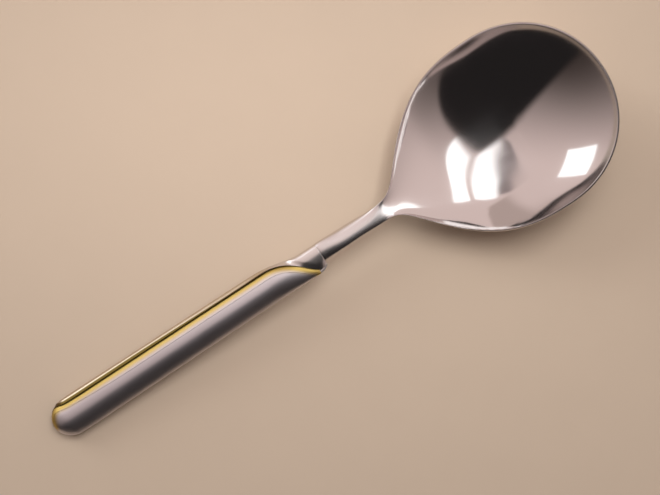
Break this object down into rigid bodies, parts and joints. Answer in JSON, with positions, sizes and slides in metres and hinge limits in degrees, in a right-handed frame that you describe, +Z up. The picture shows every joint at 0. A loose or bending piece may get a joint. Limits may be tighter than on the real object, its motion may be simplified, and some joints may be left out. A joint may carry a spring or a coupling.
{
  "type": "serving spoon",
  "caption": "Serving spoon with a wide round bowl, a round shank and a hollow steel handle whose back shell wraps over the face as a leaf with a raised lip and a gilt band.",
  "frame": {"origin": "on the resting surface, under the middle of the spoon's length and width", "axes": "+X from the end of the handle to the tip of the bowl, +Y to the side of the lip, +Z up and out of the bowl"},
  "size_m": [0.2514, 0.074, 0.0219],
  "materials": {
    "forged_steel": "bright satin with faint brush lines, polished rim",
    "leaf_steel": "polished lip, satin back",
    "face_steel": "fine lengthwise satin",
    "gilt": "gold layer, polished",
    "braze": "as cast",
    "cement": "matte"
  },
  "bodies": {
    "root": {"bowl_and_shank": "forged_steel", "outer_leaf": "leaf_steel", "inner_face": "face_steel", "gilt_band": "gilt", "braze_ring": "braze", "handle_fill": "cement"}
  },
  "joints": []
}
